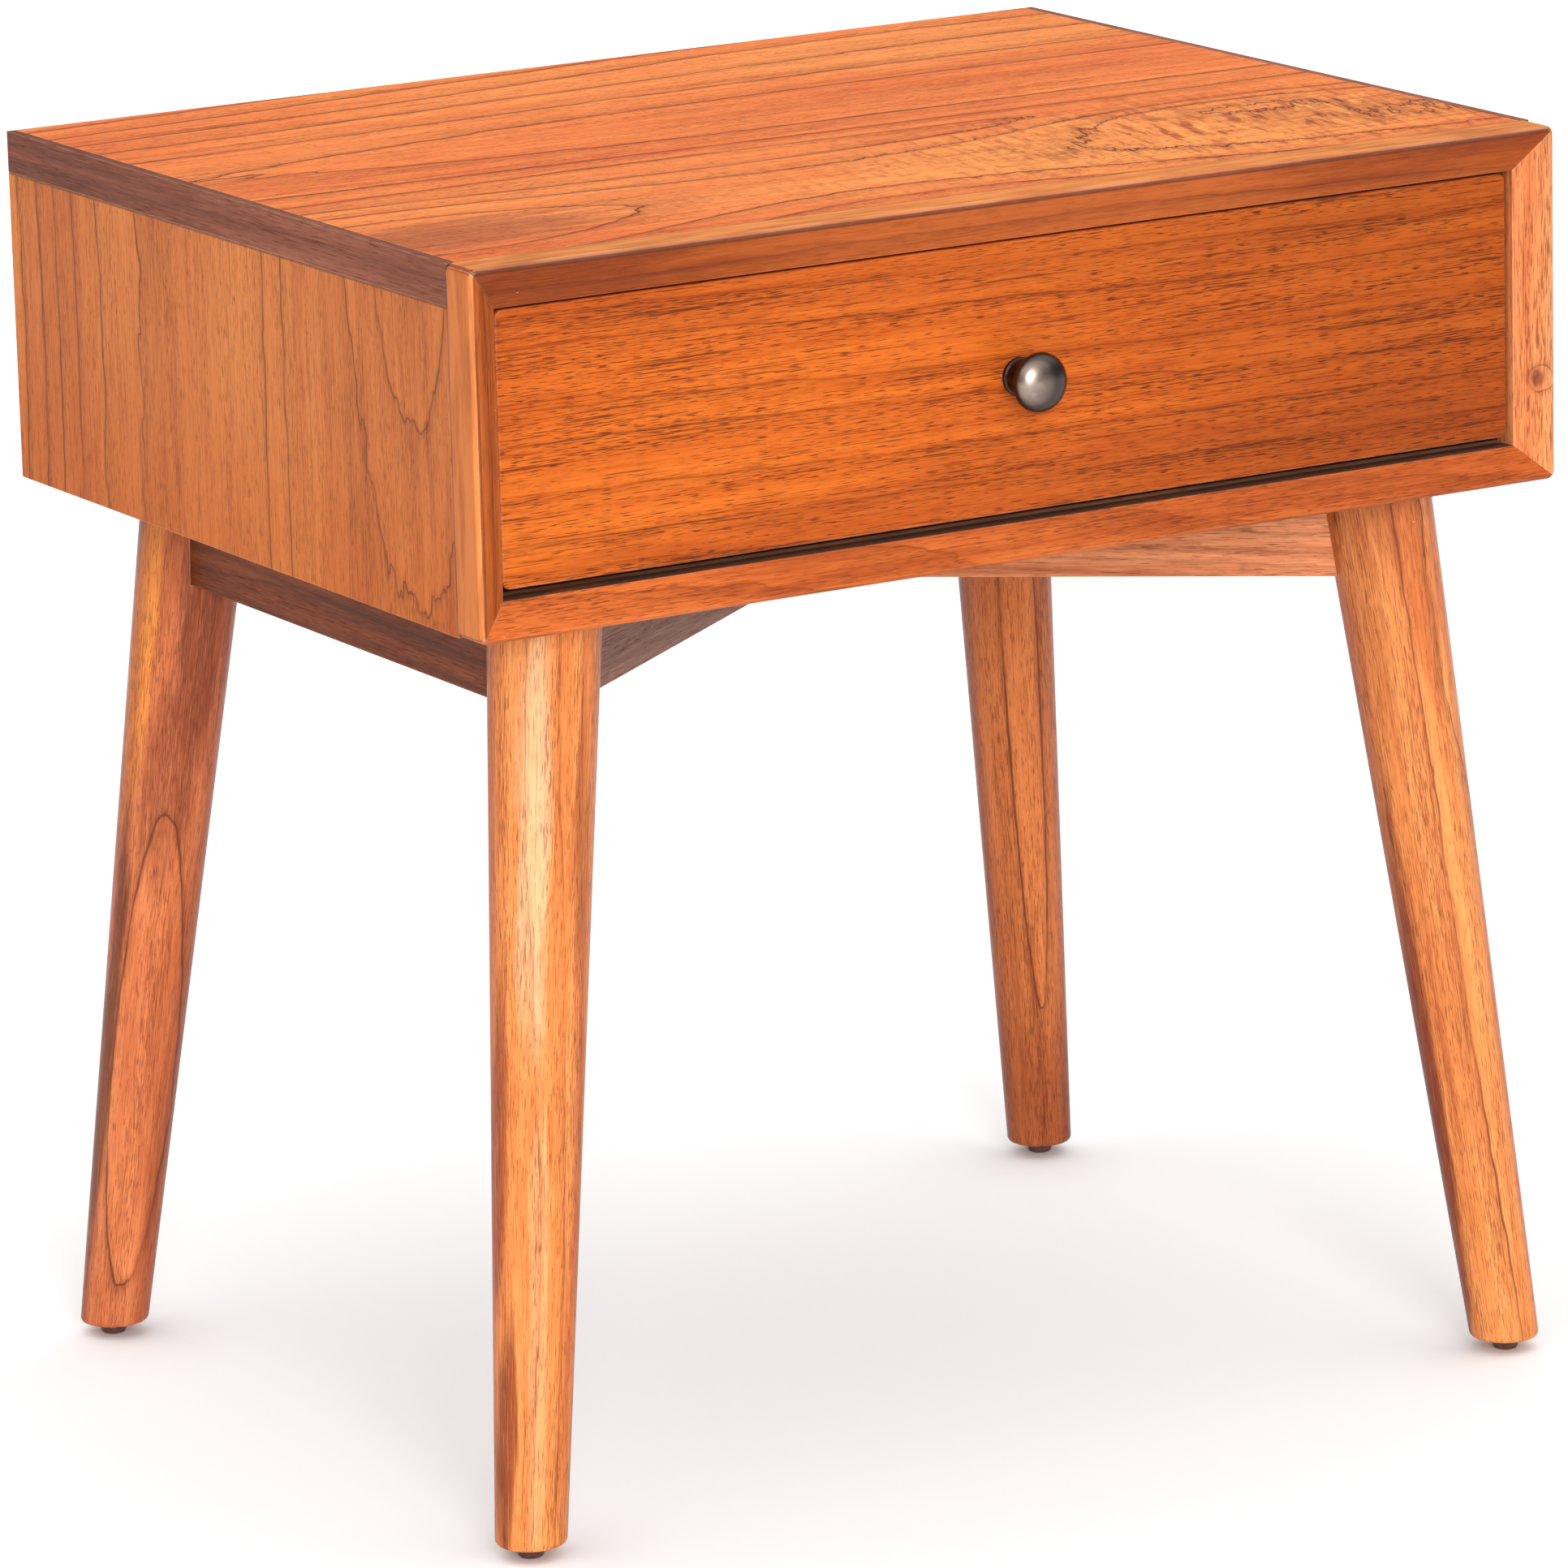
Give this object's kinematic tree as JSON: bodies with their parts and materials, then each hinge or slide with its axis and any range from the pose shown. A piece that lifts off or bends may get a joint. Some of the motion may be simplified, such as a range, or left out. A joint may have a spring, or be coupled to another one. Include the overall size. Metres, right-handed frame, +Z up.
{
  "type": "side table",
  "caption": "Side table with one inset drawer in a bevelled mitred front frame, on splayed tapered legs with side rails and a cross stretcher.",
  "frame": {"origin": "on the floor, under the centre of the whole table, knob included", "axes": "+Z up, -Y is the front with the drawer, +X to the right seen from the front"},
  "size_m": [0.585, 0.4704, 0.603],
  "materials": {
    "top_veneer": "satin",
    "edge_wood": "satin",
    "side_veneer": "satin",
    "frame_wood": "satin",
    "stile_wood": "satin",
    "drawer_veneer": "satin",
    "leg_wood": "satin",
    "rail_wood": "satin",
    "plywood": "matt",
    "box_wood": "matt",
    "dowel_wood": "raw",
    "zinc_steel": "zinc plated",
    "knob_metal": "antique pewter",
    "glide_plastic": "moulded"
  },
  "bodies": {
    "root": {"top_panel": "top_veneer", "top_edge_left": "edge_wood", "top_edge_right": "edge_wood", "side_panel_left": "side_veneer", "side_panel_right": "side_veneer", "bottom_panel": "plywood", "back_panel": "plywood", "frame_top_rail": "frame_wood", "frame_bottom_rail": "frame_wood", "frame_left_stile": "stile_wood", "frame_right_stile": "stile_wood", "case_dowels": "dowel_wood", "frame_dowels": "dowel_wood", "back_panel_screws": "zinc_steel", "leg_front_left": "leg_wood", "leg_front_right": "leg_wood", "leg_rear_left": "leg_wood", "leg_rear_right": "leg_wood", "glide_front_left": "glide_plastic", "glide_front_right": "glide_plastic", "glide_rear_left": "glide_plastic", "glide_rear_right": "glide_plastic", "glide_nails": "zinc_steel", "side_rail_left": "rail_wood", "side_rail_right": "rail_wood", "cross_stretcher_lower": "rail_wood", "cross_stretcher_upper": "rail_wood", "rail_dowels": "dowel_wood", "base_screws": "zinc_steel", "slide_outer_left": "zinc_steel", "slide_outer_right": "zinc_steel", "slide_case_screws": "zinc_steel"},
    "drawer": {"drawer_front": "drawer_veneer", "drawer_box_front": "box_wood", "drawer_side_left": "box_wood", "drawer_side_right": "box_wood", "drawer_back": "box_wood", "drawer_bottom": "plywood", "drawer_box_dowels": "dowel_wood", "drawer_front_screws": "zinc_steel", "knob": "knob_metal", "knob_screw": "zinc_steel", "slide_inner_left": "zinc_steel", "slide_inner_right": "zinc_steel", "slide_drawer_screws": "zinc_steel"},
    "slide_middle_left": {"slide_middle_left": "zinc_steel"},
    "slide_middle_right": {"slide_middle_right": "zinc_steel"}
  },
  "joints": [
    {"name": "drawer_slide", "type": "slide", "parent": "root", "child": "drawer", "axis": [0, -1, 0], "range_m": [0, 0.4]},
    {"name": "slide_middle_left_travel", "type": "slide", "parent": "root", "child": "slide_middle_left", "axis": [0, -1, 0], "range_m": [0, 0.2]},
    {"name": "slide_middle_right_travel", "type": "slide", "parent": "root", "child": "slide_middle_right", "axis": [0, -1, 0], "range_m": [0, 0.2]}
  ],
  "couplings": [
    {"joint": "slide_middle_left_travel", "follows": "drawer_slide", "ratio": 0.5},
    {"joint": "slide_middle_right_travel", "follows": "drawer_slide", "ratio": 0.5}
  ]
}
